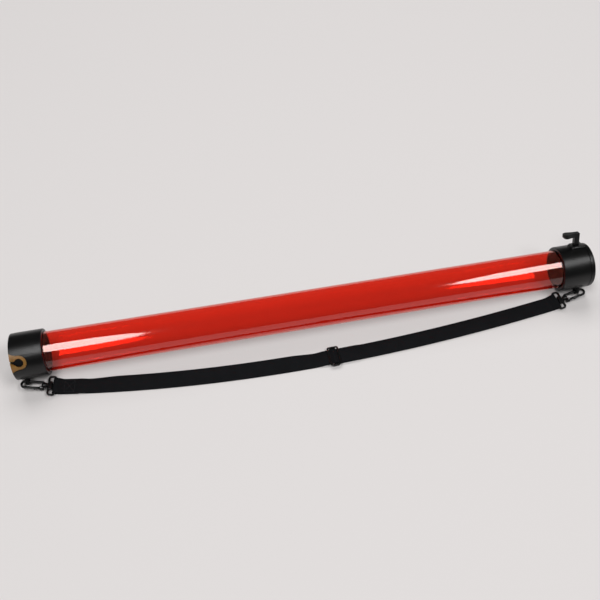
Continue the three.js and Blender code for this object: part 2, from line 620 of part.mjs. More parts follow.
function hookBody() {
  const outline = new THREE.Shape();
  const heel = BARREL_END - HEEL_LENGTH;
  outline.moveTo(heel + HEEL_RADIUS, -LOOP_HALF);
  outline.lineTo(NOSE_U, -LOOP_HALF);
  outline.absarc(NOSE_U, 0, LOOP_HALF, -Math.PI / 2, Math.PI / 2);
  outline.lineTo(heel + HEEL_RADIUS, LOOP_HALF);
  outline.absarc(heel + HEEL_RADIUS, LOOP_HALF - HEEL_RADIUS, HEEL_RADIUS, Math.PI / 2, Math.PI);
  outline.lineTo(heel, -LOOP_HALF + HEEL_RADIUS);
  outline.absarc(heel + HEEL_RADIUS, -LOOP_HALF + HEEL_RADIUS, HEEL_RADIUS, Math.PI, Math.PI * 1.5);
  const opening = new THREE.Path();
  opening.moveTo(BARREL_END, -WINDOW_HALF + WINDOW_CORNER);
  opening.lineTo(BARREL_END, WINDOW_HALF - WINDOW_CORNER);
  opening.lineTo(BARREL_END + WINDOW_CORNER, WINDOW_HALF);
  opening.lineTo(NOSE_U, WINDOW_HALF);
  opening.absarc(NOSE_U, 0, WINDOW_HALF, Math.PI / 2, -Math.PI / 2, true);
  opening.lineTo(BARREL_END + WINDOW_CORNER, -WINDOW_HALF);
  outline.holes.push(opening);
  const half = HOOK_BAR / 2;
  const loop = plate(outline, -half, half, HOOK_EDGE);
  const overlap = SEAT_GAP * Math.SQRT1_2;
  const gateCut = plate(gateSpace(GATE_START, WINDOW_HALF - SEAT_GAP, LOOP_HALF + OVERRUN, overlap),
    -HOOK_BAR, HOOK_BAR, 0);

  const cheeks = roundedRectangle(heel + SEAT_GAP, PIVOT_U + KNUCKLE_RADIUS,
    PIVOT_V - KNUCKLE_RADIUS, PIVOT_V + KNUCKLE_RADIUS, KNUCKLE_RADIUS - SEAT_GAP);
  const knuckle = plate(cheeks, -KNUCKLE_HALF, KNUCKLE_HALF, HOOK_EDGE / 2);
  const slotHalf = GATE_THICKNESS / 2 + SEAT_GAP;
  const slot = block(GATE_START, PIVOT_U + KNUCKLE_RADIUS + OVERRUN,
    PIVOT_V - KNUCKLE_RADIUS - OVERRUN, PIVOT_V + KNUCKLE_RADIUS + OVERRUN / 2, -slotHalf, slotHalf);
  const barrel = turnedRod([[BARREL_START, 0], [BARREL_START, BARREL_RADIUS - HOOK_EDGE],
    [BARREL_START + HOOK_EDGE, BARREL_RADIUS], [BARREL_END - HOOK_EDGE, BARREL_RADIUS],
    [BARREL_END, BARREL_RADIUS - HOOK_EDGE], [BARREL_END, 0]]);
  const bore = turnedRod([[BARREL_START - OVERRUN, 0], [BARREL_START - OVERRUN, SHANK_RADIUS + SEAT_GAP],
    [BARREL_END + OVERRUN, SHANK_RADIUS + SEAT_GAP], [BARREL_END + OVERRUN, 0]]);
  const holeHalf = KNUCKLE_HALF + OVERRUN;
  const pinHole = post(PIVOT_U, PIVOT_V, GATE_PIN_RADIUS + SEAT_GAP, -holeHalf, holeHalf, 16);
  const frame = cut(solidOf(loop), gateCut);
  const fork = cut(solidOf(knuckle), slot);
  return geometryOf(cut(frame.add(fork).add(solidOf(barrel)), bore, pinHole));
}

function hookGate() {
  const half = GATE_THICKNESS / 2;
  const overlap = SEAT_GAP * Math.SQRT1_2;
  const bar = plate(gateSpace(PIVOT_U, WINDOW_HALF, LOOP_HALF, -overlap), -half, half, HOOK_EDGE);
  const hub = post(PIVOT_U, PIVOT_V, GATE_HUB_RADIUS, -half, half, 24);
  const ridgeEnd = MITRE - THUMB_RIDGE_INSET;
  const ridgeStart = ridgeEnd - THUMB_RIDGE_LENGTH;
  const ridgeShape = new THREE.Shape();
  ridgeShape.moveTo(ridgeStart, -LOOP_HALF + HOOK_EDGE);
  ridgeShape.lineTo(ridgeStart + THUMB_RIDGE_HEIGHT, -LOOP_HALF - THUMB_RIDGE_HEIGHT);
  ridgeShape.lineTo(ridgeEnd - THUMB_RIDGE_HEIGHT, -LOOP_HALF - THUMB_RIDGE_HEIGHT);
  ridgeShape.lineTo(ridgeEnd, -LOOP_HALF + HOOK_EDGE);
  const ridge = plate(ridgeShape, -half + HOOK_EDGE / 2, half - HOOK_EDGE / 2, HOOK_EDGE / 4);
  const slotHalf = GATE_SPRING_SLOT / 2;
  const springSlot = post(PIVOT_U, PIVOT_V, GATE_HUB_RADIUS + HOOK_EDGE, -slotHalf, slotHalf, 24);
  const pinHole = post(PIVOT_U, PIVOT_V, GATE_PIN_RADIUS + SEAT_GAP, -half - OVERRUN, half + OVERRUN, 16);
  return geometryOf(cut(join(bar, hub, ridge), springSlot, pinHole));
}

function gatePin() {
  const shaft = KNUCKLE_HALF + SEAT_GAP;
  const end = shaft + PIN_HEAD_HEIGHT;
  const chamfer = PIN_HEAD_HEIGHT / 2;
  const profile = [
    [0, -end], [PIN_HEAD_RADIUS - chamfer, -end],
    [PIN_HEAD_RADIUS, -end + chamfer], [PIN_HEAD_RADIUS, -shaft],
    [GATE_PIN_RADIUS, -shaft], [GATE_PIN_RADIUS, shaft],
    [PIN_HEAD_RADIUS, shaft], [PIN_HEAD_RADIUS, end - chamfer], [PIN_HEAD_RADIUS - chamfer, end], [0, end],
  ];
  const points = profile.map(([radius, height]) => new THREE.Vector2(radius, height));
  return new THREE.LatheGeometry(points, 16).rotateX(Math.PI / 2).translate(PIVOT_U, PIVOT_V, 0);
}

function gateSpring() {
  const height = GATE_SPRING_TURNS * GATE_SPRING_PITCH + GATE_SPRING_WIRE;
  const radius = GATE_PIN_RADIUS + SEAT_GAP + GATE_SPRING_WIRE / 2;
  const coil = woundWire(radius, GATE_SPRING_WIRE, GATE_SPRING_TURNS, -height / 2, height / 2);
  return coil.translate(PIVOT_U, PIVOT_V, 0);
}

function hookEye() {
  const outline = roundedRectangle(-EYE_HALF, EYE_HALF, -EYE_WIDTH / 2, EYE_WIDTH / 2, EYE_CORNER);
  const inner = EYE_HALF - HOOK_BAR;
  const innerWidth = EYE_WIDTH / 2 - HOOK_BAR + HOOK_EDGE;
  const opening = roundedRectangle(-inner, inner, -innerWidth, innerWidth, EYE_WINDOW_CORNER);
  outline.holes.push(new THREE.Path(opening.getPoints(2).slice(0, -1)));
  const ring = plate(outline, -HOOK_BAR / 2, HOOK_BAR / 2, HOOK_EDGE, 4);
  const hubShape = roundedRectangle(inner - EYE_HUB_DEPTH, EYE_HALF - HOOK_EDGE,
    -EYE_HUB_WIDTH / 2, EYE_HUB_WIDTH / 2, EYE_WINDOW_CORNER);
  const hubHalf = HOOK_BAR / 2 + EYE_HUB_PROUD;
  const hub = plate(hubShape, -hubHalf, hubHalf, HOOK_EDGE, 2);
  const neckStart = EYE_HALF - HOOK_BAR / 2;
  const neckEnd = BARREL_START - SEAT_GAP;
  const headStart = BARREL_END + SEAT_GAP;
  const headEnd = headStart + SHANK_HEAD_LENGTH;
  const shank = turnedRod([[neckStart, 0], [neckStart, HOOK_BAR / 2], [neckEnd, SHANK_NECK_RADIUS],
    [neckEnd, SHANK_RADIUS], [headStart, SHANK_RADIUS], [headStart, SHANK_HEAD_RADIUS],
    [headEnd - SHANK_CHAMFER, SHANK_HEAD_RADIUS], [headEnd, SHANK_HEAD_RADIUS - SHANK_CHAMFER],
    [headEnd, 0]]);
  return geometryOf(join(ring, hub, shank));
}

// Where a hook lies: side is -1 at the pickup end and +1 at the release end
function hookFrame(side, heading, tilt) {
  const level = new THREE.Vector3(side * Math.cos(heading), Math.sin(heading), 0);
  const up = new THREE.Vector3(0, 0, 1);
  const along = level.clone().multiplyScalar(Math.cos(HOOK_RISE)).addScaledVector(up, Math.sin(HOOK_RISE));
  const flat = new THREE.Vector3(-side * Math.sin(heading), Math.cos(heading), 0);
  const above = level.clone().multiplyScalar(-Math.sin(HOOK_RISE)).addScaledVector(up, Math.cos(HOOK_RISE));
  const across = flat.multiplyScalar(Math.cos(tilt)).addScaledVector(above, Math.sin(tilt));
  const through = along.clone().cross(across);
  return { along, across, through };
}

function lugHole(side, inset) {
  const radius = COLLAR_RADIUS + LUG_HOLE_OFFSET;
  return new THREE.Vector3(side * (END_X - inset), radius * Math.sin(LUG_ANGLE),
    AXIS_HEIGHT + radius * Math.cos(LUG_ANGLE));
}

function placedGroup(origin, { along, across, through }) {
  const placed = new THREE.Group();
  placed.position.copy(origin);
  placed.quaternion.setFromRotationMatrix(new THREE.Matrix4().makeBasis(along, across, through));
  return placed;
}

// One snap hook as two groups that share an origin, the eye's middle
function snapHook(prefix, side, heading, inset, reach) {
  const tilted = hookFrame(side, heading, HOOK_TILT);
  const level = hookFrame(side, heading, 0);
  const origin = lugHole(side, inset)
    .addScaledVector(tilted.along, -reach)
    .addScaledVector(tilted.across, -RAIL_V - RAIL_OFFSET);
  const eye = placedGroup(origin, level);
  eye.add(meshOf(`${prefix}_eye`, hookEye(), blackPlastic));
  const hook = placedGroup(origin, tilted);
  hook.add(
    meshOf(`${prefix}_hook`, hookBody(), blackPlastic),
    meshOf(`${prefix}_gate`, hookGate(), blackPlastic),
    meshOf(`${prefix}_gate_pin`, gatePin(), springSteel),
    meshOf(`${prefix}_gate_spring`, gateSpring(), springSteel),
  );
  const bar = origin.clone().addScaledVector(level.along, EYE_BAR_U);
  return { eye, hook, bar, heading: level.along };
}

// Strap: its plan is one smooth curve between the two eye bars, and its side view a path of
// [distance along the plan, height], followed from the sewn tail at the pickup hook to the folded end
const pickupHook = snapHook('pickup', -1, PICKUP_HOOK_HEADING, PICKUP_LUG_INSET, PICKUP_HOOK_REACH);
const releaseHook = snapHook('release', 1, RELEASE_HOOK_HEADING, RELEASE_LUG_INSET, RELEASE_HOOK_REACH);

const flatten = (vector) => new THREE.Vector3(vector.x, vector.y, 0);
const strapStart = flatten(pickupHook.bar);
const strapEnd = flatten(releaseHook.bar);
const pull = strapStart.distanceTo(strapEnd) / 3;
const strapPlan = new THREE.CubicBezierCurve3(
  strapStart,
  strapStart.clone().addScaledVector(flatten(pickupHook.heading).normalize(), -pull),
  strapEnd.clone().addScaledVector(flatten(releaseHook.heading).normalize(), -pull),
  strapEnd,
);
const strapSpan = strapPlan.getLength();
const sliderPlace = strapSpan * SLIDER_SHARE;

const layerHeight = (layer) => WEBBING_THICKNESS / 2 + (layer - 1) * (WEBBING_THICKNESS + LAYER_GAP);
// The flats of a wrap stay clear of what it goes round
const wrapRadius = (held) => (held + SEAT_GAP) / Math.cos(Math.PI / 2 / WRAP_STEPS) + WEBBING_THICKNESS / 2;
const eyeWrap = wrapRadius(Math.hypot(HOOK_BAR / 2, HOOK_BAR / 2 - HOOK_EDGE));
const middleWrap = wrapRadius(MIDDLE_BAR_RADIUS);
const middleBarHeight = layerHeight(1) + middleWrap;
const crestHeight = middleBarHeight + middleWrap + WEBBING_THICKNESS + LAYER_GAP;
const windowHalf = SLIDER_LENGTH / 2 - SLIDER_BAR - SEAT_GAP;

function planPoint(distance) {
  const inside = THREE.MathUtils.clamp(distance, 0, strapSpan);
  const share = inside / strapSpan;
  const tangent = strapPlan.getTangentAt(share);
  const point = strapPlan.getPointAt(share).addScaledVector(tangent, distance - inside);
  return { point, tangent };
}

function easeTo(path, distance, height, steps = EASE_STEPS) {
  const [fromDistance, fromHeight] = path[path.length - 1];
  for (let i = 1; i <= steps; i += 1) {
    const t = i / steps;
    const rise = t * t * (3 - 2 * t);
    path.push([fromDistance + (distance - fromDistance) * t, fromHeight + (height - fromHeight) * rise]);
  }
}

function runTo(path, distance) {
  const [fromDistance, height] = path[path.length - 1];
  const steps = Math.max(1, Math.round(Math.abs(distance - fromDistance) / LONG_STEP));
  for (let i = 1; i <= steps; i += 1) {
    path.push([fromDistance + (distance - fromDistance) * i / steps, height]);
  }
}

// Half a turn round a bar; outward is -1 where the loop bulges towards the pickup end
function wrapRound(path, distance, height, radius, outward, upward) {
  for (let i = 1; i <= WRAP_STEPS; i += 1) {
    const angle = Math.PI * i / WRAP_STEPS;
    path.push([distance + outward * radius * Math.sin(angle), height - upward * radius * Math.cos(angle)]);
  }
}

function strapPath() {
  const plateau = windowHalf + SLIDER_BAR + 2 * SEAT_GAP;
  const path = [[SEWN_TAIL, layerHeight(1)]];
  runTo(path, DROP_LENGTH);
  easeTo(path, 0, pickupHook.bar.z - eyeWrap);
  wrapRound(path, 0, pickupHook.bar.z, eyeWrap, -1, 1);
  easeTo(path, RISE_LENGTH, layerHeight(2));
  runTo(path, SEWN_TAIL + SLIDER_BAR);
  easeTo(path, SEWN_TAIL + SLIDER_BAR + DROP_LENGTH, layerHeight(1));
  runTo(path, sliderPlace - plateau - SLOW_RISE_LENGTH);
  easeTo(path, sliderPlace - plateau, layerHeight(3));
  runTo(path, sliderPlace - windowHalf);
  easeTo(path, sliderPlace, crestHeight);
  easeTo(path, sliderPlace + windowHalf, layerHeight(3));
  runTo(path, sliderPlace + FOLD_BACK + SLIDER_BAR);
  easeTo(path, sliderPlace + FOLD_BACK + SLIDER_BAR + DROP_LENGTH, layerHeight(2));
  runTo(path, strapSpan - RISE_LENGTH);
  easeTo(path, strapSpan, releaseHook.bar.z + eyeWrap);
  wrapRound(path, strapSpan, releaseHook.bar.z, eyeWrap, 1, -1);
  easeTo(path, strapSpan - DROP_LENGTH, layerHeight(1));
  runTo(path, sliderPlace);
  wrapRound(path, sliderPlace, middleBarHeight, middleWrap, -1, 1);
  easeTo(path, sliderPlace + windowHalf, layerHeight(2));
  runTo(path, sliderPlace + FOLD_BACK);
  return path;
}

function strapWebbing() {
  const path = strapPath();
  const positions = [];
  const triangles = [];
  path.forEach(([distance, height], i) => {
    const before = path[Math.max(i - 1, 0)];
    const after = path[Math.min(i + 1, path.length - 1)];
    const run = after[0] - before[0];
    const rise = after[1] - before[1];
    const length = Math.hypot(run, rise);
    const { point: centre, tangent } = planPoint(distance);
    const side = new THREE.Vector3(-tangent.y, tangent.x, 0).multiplyScalar(WEBBING_WIDTH / 2);
    const thickness = tangent.clone().multiplyScalar(-rise / length).setZ(run / length)
      .multiplyScalar(WEBBING_THICKNESS / 2);
    centre.z = height;
    for (const [across, through] of [[-1, -1], [1, -1], [1, 1], [-1, 1]]) {
      const corner = centre.clone().addScaledVector(side, across).addScaledVector(thickness, through);
      positions.push(corner.x, corner.y, corner.z);
    }
    if (i === 0) return;
    const here = 4 * i;
    const last = here - 4;
    for (let k = 0; k < 4; k += 1) {
      const next = (k + 1) % 4;
      triangles.push(last + k, last + next, here + next, last + k, here + next, here + k);
    }
  });
  const end = positions.length / 3 - 4;
  triangles.push(0, 3, 2, 0, 2, 1, end, end + 1, end + 2, end, end + 2, end + 3);
  const geometry = new THREE.BufferGeometry();
  geometry.setAttribute('position', new THREE.Float32BufferAttribute(positions, 3));
  geometry.setIndex(triangles);
  geometry.computeVertexNormals();
  return geometry;
}

// Slider, drawn with the strap running along its first axis
function strapSlider() {
  const halfLength = SLIDER_LENGTH / 2;
  const halfWidth = SLIDER_WIDTH / 2;
  const low = layerHeight(3) + WEBBING_THICKNESS / 2 + SEAT_GAP;
  const high = low + SLIDER_THICKNESS;
  const barLow = middleBarHeight - MIDDLE_BAR_RADIUS;
  const windowWidth = halfWidth - SLIDER_BAR + SLIDER_EDGE / 2;
  const outline = roundedRectangle(-halfLength, halfLength, -halfWidth, halfWidth, SLIDER_CORNER);
  const windowLength = halfLength - SLIDER_BAR;
  const opening = roundedRectangle(-windowLength, windowLength, -windowWidth, windowWidth, SLIDER_EDGE);
  outline.holes.push(new THREE.Path(opening.getPoints(2).slice(0, -1)));
  const frame = plate(outline, low, high, SLIDER_EDGE, 4);
  const rails = [-1, 1].map((side) => {
    const edges = [side * windowWidth, side * (halfWidth - SLIDER_EDGE)];
    return block(-RAIL_LENGTH / 2, RAIL_LENGTH / 2, Math.min(...edges), Math.max(...edges),
      barLow, low + SLIDER_EDGE);
  });
  const barLength = 2 * windowWidth + SLIDER_BAR;
  const bar = new THREE.CylinderGeometry(MIDDLE_BAR_RADIUS, MIDDLE_BAR_RADIUS, barLength, 16)
    .translate(0, 0, middleBarHeight);
  return geometryOf(join(frame, ...rails, bar));
}

function sliderGroup() {
  const { point, tangent } = planPoint(sliderPlace);
  const placed = new THREE.Group();
  placed.position.copy(point);
  placed.rotation.z = Math.atan2(tangent.y, tangent.x);
  placed.add(meshOf('slider', strapSlider(), blackPlastic));
  return placed;
}

// Assembly
const tubeGroup = new THREE.Group();
tubeGroup.position.z = AXIS_HEIGHT;
tubeGroup.add(
  meshOf('tube', clearTube(), clearRed),
  meshOf('pickup_collar', pickupCollar(), blackPlastic),
  meshOf('catch_ring', catchRing(), amberRubber),
  meshOf('catch_sleeve', catchSleeve(), blackRubber),
  meshOf('release_collar', releaseCollar(), blackPlastic),
  meshOf('release_end_ring', releaseEndRing(), blackPlastic),
);

const releaseGroup = new THREE.Group();
releaseGroup.position.x = LEVER_X;
releaseGroup.rotation.x = -LEVER_ANGLE;
releaseGroup.add(
  meshOf('release_lever', releaseLever(), blackPlastic),
  meshOf('stop_button', stopButton(), blackPlastic),
  meshOf('stop_spring', stopSpring(), springSteel),
  meshOf('stop_screw', stopScrew(), springSteel),
);
tubeGroup.add(releaseGroup);

const group = new THREE.Group();
group.add(tubeGroup, pickupHook.eye, pickupHook.hook, releaseHook.eye, releaseHook.hook);
group.add(meshOf('strap', strapWebbing(), blackWebbing), sliderGroup());

// The origin is on the ground, under the middle of the part's footprint
const footprint = new THREE.Box3().setFromObject(group, true);
const middle = footprint.getCenter(new THREE.Vector3());
group.position.set(-middle.x, -middle.y, -footprint.min.z);

export default group;
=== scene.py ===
# %% [markdown]
# # A tennis ball pickup tube
# The real object is a clear red tube with a moulded black collar on each end.
# Pressed down over a ball, the springy ring in the left collar lets it in and keeps it.
# The lever on the right collar pulls a stop out of the bore, and the balls roll out.
# A webbing strap clips to both collars and lies on the ground in front.
#
# The imported model already holds every rigid piece at its real size.
# So this lesson gives those pieces their finish, and remodels what the model only stands in for:
# the round, polished tube, the stop spring, and the woven strap.

# %% Tools and the imported model
import json
import math

import bmesh
import bpy
from mathutils import Matrix, Vector


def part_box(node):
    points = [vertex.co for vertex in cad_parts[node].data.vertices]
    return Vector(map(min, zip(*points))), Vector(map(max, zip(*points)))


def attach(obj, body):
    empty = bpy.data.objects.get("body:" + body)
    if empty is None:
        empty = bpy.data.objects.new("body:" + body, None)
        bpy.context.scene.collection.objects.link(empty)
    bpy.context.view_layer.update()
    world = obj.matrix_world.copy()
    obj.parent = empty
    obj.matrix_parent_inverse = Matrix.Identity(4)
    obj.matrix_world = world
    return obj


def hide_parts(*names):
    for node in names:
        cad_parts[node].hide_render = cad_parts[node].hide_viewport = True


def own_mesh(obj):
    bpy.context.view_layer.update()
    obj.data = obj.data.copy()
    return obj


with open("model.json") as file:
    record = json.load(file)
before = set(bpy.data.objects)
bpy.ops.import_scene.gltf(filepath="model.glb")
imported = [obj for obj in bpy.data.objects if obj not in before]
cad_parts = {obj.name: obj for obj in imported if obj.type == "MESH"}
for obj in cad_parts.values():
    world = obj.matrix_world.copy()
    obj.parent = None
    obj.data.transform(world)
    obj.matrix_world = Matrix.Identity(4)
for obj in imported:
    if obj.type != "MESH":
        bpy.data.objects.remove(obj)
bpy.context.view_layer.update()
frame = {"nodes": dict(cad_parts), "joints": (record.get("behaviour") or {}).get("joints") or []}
MM = 0.001
MERGE_DISTANCE = 0.005 * MM
print("pieces in the frame:", len(frame["nodes"]))


# %% [markdown]
# ## The camera
# The photograph was taken from above the strap's side, a little towards the pickup end.
# Its lens, place and aim come from lining up the tube's ends, the collars and the slider
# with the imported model, so the render falls on the photograph.

# %% The camera
LENS = 48.16
AIM = Vector((-15.8, 54.6, 41.9)) * MM
DISTANCE = 1488 * MM
AZIMUTH = math.radians(-10.98)
ELEVATION = math.radians(55.89)
NEAREST_SEEN = 10 * MM

towards_camera = Vector((
    math.sin(AZIMUTH) * math.cos(ELEVATION),
    -math.cos(AZIMUTH) * math.cos(ELEVATION),
    math.sin(ELEVATION),
))
camera = bpy.data.objects.new("camera", bpy.data.cameras.new("camera"))
camera.data.lens = LENS
camera.data.clip_start = NEAREST_SEEN
camera.location = AIM + towards_camera * DISTANCE
camera.rotation_euler = towards_camera.to_track_quat("Z", "Y").to_euler()
bpy.context.scene.collection.objects.link(camera)
bpy.context.scene.camera = camera
print("camera at", [round(value, 3) for value in camera.location])


# %% [markdown]
# ## Shader maths as plain maths
# A shader is a graph of nodes, and one written node by node is hard to read.
# This small class wraps a socket, so that `1 - mask * 0.2` adds its Math nodes by itself.
# Everything else goes through one method, which sets a node up and links it.

# %% Sockets that can be added, subtracted and multiplied
class Socket:
    def __init__(self, finish, output):
        self.finish = finish
        self.output = output

    def maths(self, operation, *values):
        numbered = dict(enumerate(values))
        return self.finish.node("ShaderNodeMath", {"operation": operation}, numbered)

    def __add__(self, other):
        return self.maths("ADD", self, other)

    def __sub__(self, other):
        return self.maths("SUBTRACT", self, other)

    def __rsub__(self, other):
        return self.maths("SUBTRACT", other, self)

    def __mul__(self, other):
        return self.maths("MULTIPLY", self, other)

    def wave(self):
        return self.maths("SINE", self)

    __radd__ = __add__
    __rmul__ = __mul__


# %% [markdown]
# ## A finish
# Each finish of the part is a material, and its nodes could be set up by hand in the editor.
# Here one class adds them, so that a finish reads as a short list of what it is made of.
# The world has a node tree too, so the same class builds it.

# %% A finish is a material, or the world, built from those sockets
class Finish:
    def __init__(self, name, kept_in="materials", end="ShaderNodeOutputMaterial"):
        self.material = getattr(bpy.data, kept_in).new(name)
        self.material.use_nodes = True
        self.tree = self.material.node_tree
        self.tree.nodes.clear()
        self.end = end

    def node(self, kind, settings=None, values=None, output=0):
        """Adds a node: settings first, then a value or a link for each named socket."""
        made = self.tree.nodes.new(kind)
        for name, setting in (settings or {}).items():
            setattr(made, name, setting)
        for name, value in (values or {}).items():
            if isinstance(value, Socket):
                self.tree.links.new(value.output, made.inputs[name])
            else:
                made.inputs[name].default_value = value
        return Socket(self, made.outputs[output])

    def place(self, scale=(1, 1, 1)):
        """Object coordinates, which stay on the piece when it moves."""
        coordinates = self.node("ShaderNodeTexCoord", output="Object")
        return self.node("ShaderNodeMapping", {}, {"Vector": coordinates, "Scale": scale})

    def mottle(self, place, size, detail):
        """Cloudy noise whose spots are about size metres across."""
        values = {"Vector": place, "Scale": 1 / size, "Detail": detail}
        return self.node("ShaderNodeTexNoise", {}, values)

    def blend(self, mask, low, high):
        """One colour where mask is 0, the other where it is 1."""
        return self.node("ShaderNodeMix", {"data_type": "RGBA"}, {0: mask, 6: low, 7: high}, output=2)

    def bump(self, height, depth, **values):
        return self.node("ShaderNodeBump", {}, {"Height": height, "Distance": depth, **values})

    def surface(self, shader):
        self.tree.links.new(shader.output, self.tree.nodes.new(self.end).inputs["Surface"])
        return self.material


def colour(red, green, blue):
    """A linear colour from the 0 to 255 values of a picture, by the curve that screens use."""
    shares = (value / 255 for value in (red, green, blue))
    linear = (value / 12.92 if value < 0.04 else ((value + 0.055) / 1.055) ** 2.4 for value in shares)
    return (*linear, 1)


# %% [markdown]
# ## Floor and backdrop
# The photograph has a seamless pale sheet. A plain floor does the same near the object, and
# keeps its shadow. Further out the lamps don't reach it, so there the floor fades into an even
# backdrop, which only the camera and the rays through clear plastic see. It lights nothing.

# %% Which rays see the backdrop
def backdrop_share(finish):
    """1 for the camera's own rays and for those that come through clear plastic."""
    camera_ray = finish.node("ShaderNodeLightPath", output="Is Camera Ray")
    through_ray = finish.node("ShaderNodeLightPath", output="Is Transmission Ray")
    return camera_ray.maths("MAXIMUM", camera_ray, through_ray)


# %% [markdown]
# ## The floor itself
# The sheet is matt paper, so it mirrors nothing sharply, and a rough plane is all it needs.
# Its own colour is nearly the backdrop's, and the fade hides where the two meet.

# %% Floor
FLOOR_SIZE = 14
FLOOR_COLOUR = colour(223, 219, 218)
FLOOR_ROUGHNESS = 0.9
BACKDROP_COLOUR = colour(222, 219, 217)
FADE_START = 1.5
FADE_END = 4

floor_mesh = bmesh.new()
bmesh.ops.create_grid(floor_mesh, x_segments=1, y_segments=1, size=FLOOR_SIZE / 2)
floor = bpy.data.objects.new("floor", bpy.data.meshes.new("floor"))
floor_mesh.to_mesh(floor.data)
floor_mesh.free()
bpy.context.scene.collection.objects.link(floor)

paper = Finish("pale_paper")
near_floor = paper.node("ShaderNodeBsdfPrincipled", {}, {
    "Base Color": FLOOR_COLOUR,
    "Roughness": FLOOR_ROUGHNESS,
})
far_floor = paper.node("ShaderNodeEmission", {}, {"Color": BACKDROP_COLOUR})
distance = paper.node("ShaderNodeVectorMath", {"operation": "LENGTH"}, {0: paper.place()}, output=1)
fade = paper.node(
    "ShaderNodeMapRange", {"interpolation_type": "SMOOTHSTEP"},
    {"Value": distance, "From Min": FADE_START, "From Max": FADE_END},
)
faded_floor = paper.node("ShaderNodeMixShader", {}, {
    0: fade * backdrop_share(paper),
    1: near_floor,
    2: far_floor,
})
floor.data.materials.append(paper.surface(faded_floor))
print("floor fades from", FADE_START, "to", FADE_END, "m")


# %% [markdown]
# ## Lamps
# Two long softboxes draw a bright stripe on each end of the tube. A cylinder mirrors a light
# where its normal points half way between light and camera, which gives each softbox its place.
# A third softbox, behind the tube, gives the soft shadow in front of it. It stays out of
# mirror images, because the photograph shows only two stripes.

# %% Lamps
LAMP_HEIGHT = 5
STRIPE_RADIANCE = 6.5
BACK_RADIANCE = 3.4
POWER_PER_AREA = 4


def softbox(name, shape, middle, size, radiance, lean=0.0, slant=0.0):
    """A lamp that faces down and leans by lean to +Y; slant turns its long side from the Y axis."""
    lamp = bpy.data.lights.new(name, "AREA")
    lamp.shape = shape
    lamp.size, lamp.size_y = size
    lamp.energy = POWER_PER_AREA * lamp.size * lamp.size_y * radiance
    box = bpy.data.objects.new(name, lamp)
    box.location = (*middle, LAMP_HEIGHT)
    box.rotation_euler = (lean, 0, slant)
    bpy.context.scene.collection.objects.link(box)
    return box


softbox(
    "pickup_end_softbox", "ELLIPSE", middle=(-1.42, -1.65), size=(1.3, 3.9),
    radiance=STRIPE_RADIANCE,
)
softbox(
    "release_end_softbox", "ELLIPSE", middle=(2.6, -1.4), size=(1.44, 3.3),
    radiance=STRIPE_RADIANCE, slant=math.radians(-6),
)
back = softbox(
    "back_softbox", "RECTANGLE", middle=(0.2, 4.2), size=(5, 3),
    radiance=BACK_RADIANCE, lean=math.radians(-40),
)
back.visible_glossy = False
back.visible_transmission = False

# %% [markdown]
# ## The dim world
# The walls of a studio throw back a little of the lamps' light. They could be built, but a dim
# white world does the same, and lights the shadows evenly from all sides.

# %% The dim world, and its backdrop
WHITE = (1, 1, 1, 1)
WORLD_STRENGTH = 0.06

studio = Finish("studio", "worlds", "ShaderNodeOutputWorld")
dim_world = studio.node("ShaderNodeBackground", {}, {"Color": WHITE, "Strength": WORLD_STRENGTH})
seen_world = studio.node("ShaderNodeBackground", {}, {"Color": BACKDROP_COLOUR})
bpy.context.scene.world = studio.surface(studio.node("ShaderNodeMixShader", {}, {
    0: backdrop_share(studio),
    1: dim_world,
    2: seen_world,
}))
bpy.context.scene.view_settings.view_transform = "Standard"
print("world strength:", WORLD_STRENGTH)


# %% [markdown]
# ## Smooth shading for the turned and moulded pieces
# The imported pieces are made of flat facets. Merging their loose triangles and shading every
# shallow edge as smooth makes the collars round again, and their corners stay crisp.
# A geometry nodes modifier does it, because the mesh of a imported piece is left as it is.
# A second modifier gives the large flat faces the last word on the normals at their rims.

# %% Smooth shading by angle
SMOOTH_BELOW = math.radians(50)


def smooth_group():
    group = bpy.data.node_groups.new("smooth_by_angle", "GeometryNodeTree")
    for direction in ("INPUT", "OUTPUT"):
        group.interface.new_socket("Geometry", in_out=direction, socket_type="NodeSocketGeometry")
    start = group.nodes.new("NodeGroupInput")
    end = group.nodes.new("NodeGroupOutput")
    merge = group.nodes.new("GeometryNodeMergeByDistance")
    merge.inputs["Distance"].default_value = MERGE_DISTANCE
    faces = group.nodes.new("GeometryNodeSetShadeSmooth")
    edges = group.nodes.new("GeometryNodeSetShadeSmooth")
    edges.domain = "EDGE"
    angle = group.nodes.new("GeometryNodeInputMeshEdgeAngle")
    shallow = group.nodes.new("FunctionNodeCompare")
    shallow.operation = "LESS_THAN"
    shallow.inputs["B"].default_value = SMOOTH_BELOW
    links = group.links
    links.new(start.outputs[0], merge.inputs["Geometry"])
    links.new(merge.outputs[0], faces.inputs["Geometry"])
    links.new(faces.outputs[0], edges.inputs["Geometry"])
    links.new(angle.outputs["Unsigned Angle"], shallow.inputs["A"])
    links.new(shallow.outputs[0], edges.inputs["Shade Smooth"])
    links.new(edges.outputs[0], end.inputs[0])
    return group


smoothing = smooth_group()


def smoothed(piece):
    shading = piece.modifiers.new("smooth_by_angle", "NODES")
    shading.node_group = smoothing
    weighted = piece.modifiers.new("flat_faces_stay_flat", "WEIGHTED_NORMAL")
    weighted.keep_sharp = True
    return piece


for node in frame["nodes"].values():
    smoothed(node)
print("smoothed:", len(frame["nodes"]))
